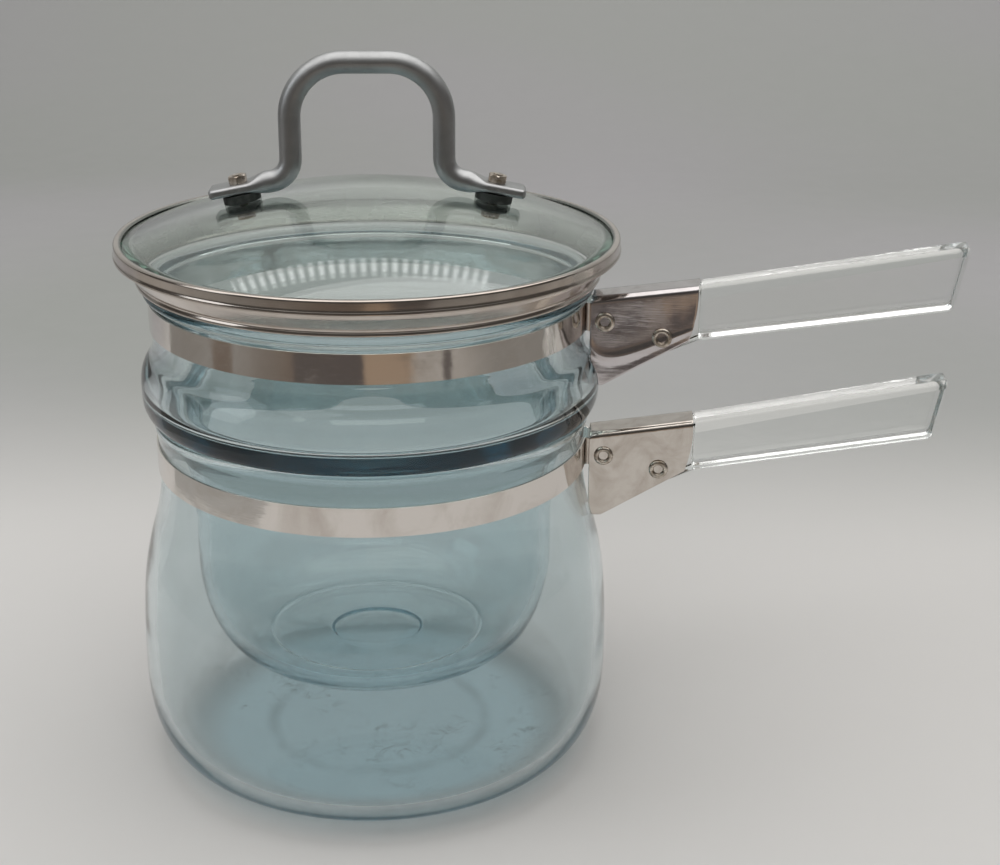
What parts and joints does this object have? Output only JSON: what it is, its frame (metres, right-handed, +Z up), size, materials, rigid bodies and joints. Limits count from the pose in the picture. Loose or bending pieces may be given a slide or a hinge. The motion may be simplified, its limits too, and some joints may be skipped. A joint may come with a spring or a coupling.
{
  "type": "double boiler",
  "caption": "Glass double boiler: round-bellied lower pot, upper pot hanging in its mouth, steel bands, clear glass side handles and a domed glass lid with a steel rim and arched handle.",
  "frame": {"origin": "middle of the lower pot's flat base", "axes": "+Z up along the pots' common axis, +X along both pot handles, away from the pots"},
  "size_m": [0.2639, 0.159, 0.2327],
  "materials": {
    "pot_glass": "clear, blue-grey tint",
    "lid_glass": "clear, faint green tint",
    "handle_glass": "clear pressed glass",
    "bright_steel": "polished, lightly worn",
    "rim_steel": "polished stainless",
    "rivet_steel": "dulled, slightly stained",
    "handle_aluminium": "satin",
    "rubber": "matt black",
    "liner": "thin grey fibre strip"
  },
  "bodies": {
    "lower_pot": {"lower_pot_glass": "pot_glass", "lower_band": "bright_steel", "lower_bracket": "bright_steel", "lower_band_rivet": "rivet_steel", "lower_handle_rivet": "rivet_steel", "lower_handle": "handle_glass", "lower_handle_liner": "liner"},
    "upper_pot": {"upper_pot_glass": "pot_glass", "upper_band": "bright_steel", "upper_bracket": "bright_steel", "upper_band_rivet": "rivet_steel", "upper_handle_rivet": "rivet_steel", "upper_handle": "handle_glass", "upper_handle_liner": "liner"},
    "lid": {"lid_glass": "lid_glass", "lid_rim": "rim_steel", "lid_handle": "handle_aluminium", "lid_pads": "rubber", "lid_washers": "rubber", "lid_bolts": "rivet_steel", "lid_nuts": "rivet_steel"}
  },
  "joints": [
    {"name": "upper_pot_lift", "type": "slide", "parent": "lower_pot", "child": "upper_pot", "axis": [0, 0, 1], "range_m": [0, 0.1]},
    {"name": "lid_lift", "type": "slide", "parent": "upper_pot", "child": "lid", "axis": [0, 0, 1], "range_m": [0, 0.06]}
  ]
}
